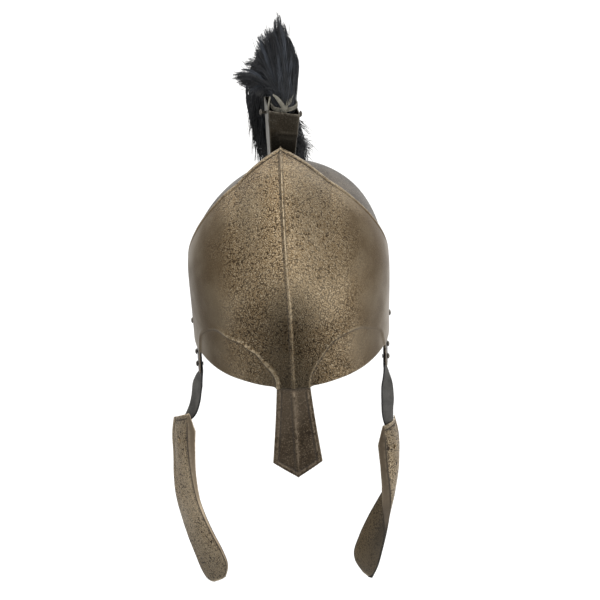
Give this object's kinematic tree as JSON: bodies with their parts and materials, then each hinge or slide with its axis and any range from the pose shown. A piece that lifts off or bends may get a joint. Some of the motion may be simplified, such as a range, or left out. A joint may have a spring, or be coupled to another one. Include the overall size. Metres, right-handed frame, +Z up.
{
  "type": "open-faced greek helmet",
  "caption": "Open-faced bronze-finish Greek helmet with pedimented brow plate, nasal, cheek plates on leather straps and a black horsehair plume.",
  "frame": {"origin": "head seat: the inside of the crown, on the middle plane", "axes": "+Z up along the wearer's head, -Y the way the face looks, -X the wearer's right"},
  "size_m": [0.2458, 0.2852, 0.6124],
  "materials": {
    "bronze": "antique bronze hammered finish on steel, satin",
    "leather": "dark oiled strap leather, satin",
    "rivet": "darkened steel, satin",
    "hair": "black horsehair, soft sheen",
    "cord": "natural cord, matt"
  },
  "bodies": {
    "root": {"bowl": "bronze", "brow_plate": "bronze", "nasal": "bronze", "crest_holder": "bronze", "plume": "hair", "plume_binding": "cord", "plume_pin": "rivet", "strap_left": "leather", "cheek_plate_left": "bronze", "side_rivet_left": "rivet", "strap_rivet_left_upper": "rivet", "strap_rivet_left_lower": "rivet", "nasal_rivet_left": "bronze", "cheek_rivet_left": "bronze", "strap_right": "leather", "cheek_plate_right": "bronze", "side_rivet_right": "rivet", "strap_rivet_right_upper": "rivet", "strap_rivet_right_lower": "rivet", "nasal_rivet_right": "bronze", "cheek_rivet_right": "bronze", "crest_rivet_front": "rivet", "crest_rivet_rear": "rivet"}
  },
  "joints": []
}
